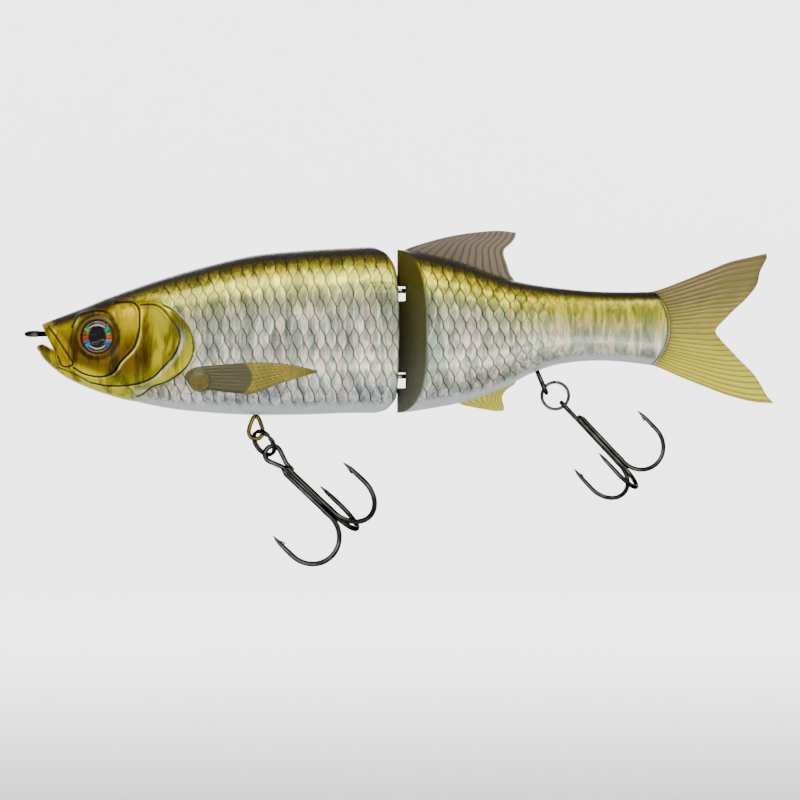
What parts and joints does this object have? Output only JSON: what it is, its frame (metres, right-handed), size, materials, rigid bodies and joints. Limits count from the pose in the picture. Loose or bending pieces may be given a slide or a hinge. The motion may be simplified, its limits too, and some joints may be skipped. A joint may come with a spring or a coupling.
{
  "type": "swimbait",
  "caption": "Two-section hard swimbait with a vertical body hinge, a soft forked tail and treble hooks hung on swivels and split rings.",
  "frame": {"origin": "centre of the line tie's eye at the nose", "axes": "+X from the nose to the tail, +Y to the fish's right side, +Z from the belly to the back"},
  "size_m": [0.1813, 0.0279, 0.081],
  "materials": {
    "foil_body": "foil under clear gloss",
    "black_nickel": "black nickel",
    "bronze_nickel": "bronze-tinted nickel",
    "steel_wire": "bright",
    "ballast": "dull",
    "iris": "holographic print",
    "eye_lens": "clear",
    "fin_plastic": "translucent gloss",
    "dorsal_plastic": "satin",
    "soft_tail": "satin, translucent"
  },
  "bodies": {
    "front_body": {"front_shell_left": "foil_body", "front_shell_right": "foil_body", "line_tie": "black_nickel", "upper_hinge_eye": "steel_wire", "lower_hinge_eye": "steel_wire", "nose_ballast": "ballast", "chest_ballast": "ballast", "belly_ballast": "ballast", "front_swivel_barrel": "bronze_nickel", "eye_disc_left": "iris", "eye_disc_right": "iris", "eye_lens_left": "eye_lens", "eye_lens_right": "eye_lens", "pectoral_fin_left": "fin_plastic", "pectoral_fin_right": "fin_plastic"},
    "rear_body": {"rear_shell_left": "foil_body", "rear_shell_right": "foil_body", "hinge_pin": "steel_wire", "rear_ballast": "ballast", "rear_swivel_barrel": "bronze_nickel", "dorsal_fin": "dorsal_plastic", "anal_fin": "soft_tail", "tail_root": "soft_tail", "tail_pin": "steel_wire"},
    "tail": {"tail_blade": "soft_tail"},
    "front_swivel": {"front_swivel_eye": "bronze_nickel"},
    "front_ring": {"front_split_ring": "black_nickel"},
    "front_hook": {"front_treble": "black_nickel"},
    "rear_swivel": {"rear_swivel_eye": "black_nickel"},
    "rear_ring": {"rear_split_ring": "black_nickel"},
    "rear_hook": {"rear_treble": "black_nickel"}
  },
  "joints": [
    {"name": "body_hinge", "type": "hinge", "parent": "front_body", "child": "rear_body", "pos_m": [0.0915, 0, 0], "axis": [0, 0, 1], "range_deg": [-33, 33]},
    {"name": "tail_flex", "type": "hinge", "parent": "rear_body", "child": "tail", "pos_m": [0.155, 0, 0.0011], "axis": [0, 0, 1], "range_deg": [-22, 22], "stiffness_Nm_per_rad": 0.004},
    {"name": "front_swivel_turn", "type": "hinge", "parent": "front_body", "child": "front_swivel", "pos_m": [0.0536, 0, -0.0199], "axis": [0, 0, 1], "continuous": true},
    {"name": "front_ring_swing", "type": "hinge", "parent": "front_swivel", "child": "front_ring", "pos_m": [0.0536, 0, -0.02385], "axis": [0, 1, 0], "range_deg": [-12, 50]},
    {"name": "front_hook_swing", "type": "hinge", "parent": "front_ring", "child": "front_hook", "pos_m": [0.0576, 0, -0.02897], "axis": [0, 1, 0], "range_deg": [-12, 50]},
    {"name": "rear_swivel_turn", "type": "hinge", "parent": "rear_body", "child": "rear_swivel", "pos_m": [0.12175, 0, -0.0092], "axis": [-0.3891, 0, 0.9212], "continuous": true},
    {"name": "rear_ring_swing", "type": "hinge", "parent": "rear_swivel", "child": "rear_ring", "pos_m": [0.12391, 0, -0.01431], "axis": [0, 1, 0], "range_deg": [-14, 38]},
    {"name": "rear_hook_swing", "type": "hinge", "parent": "rear_ring", "child": "rear_hook", "pos_m": [0.12756, 0, -0.01662], "axis": [0, 1, 0], "range_deg": [-12, 30]}
  ]
}
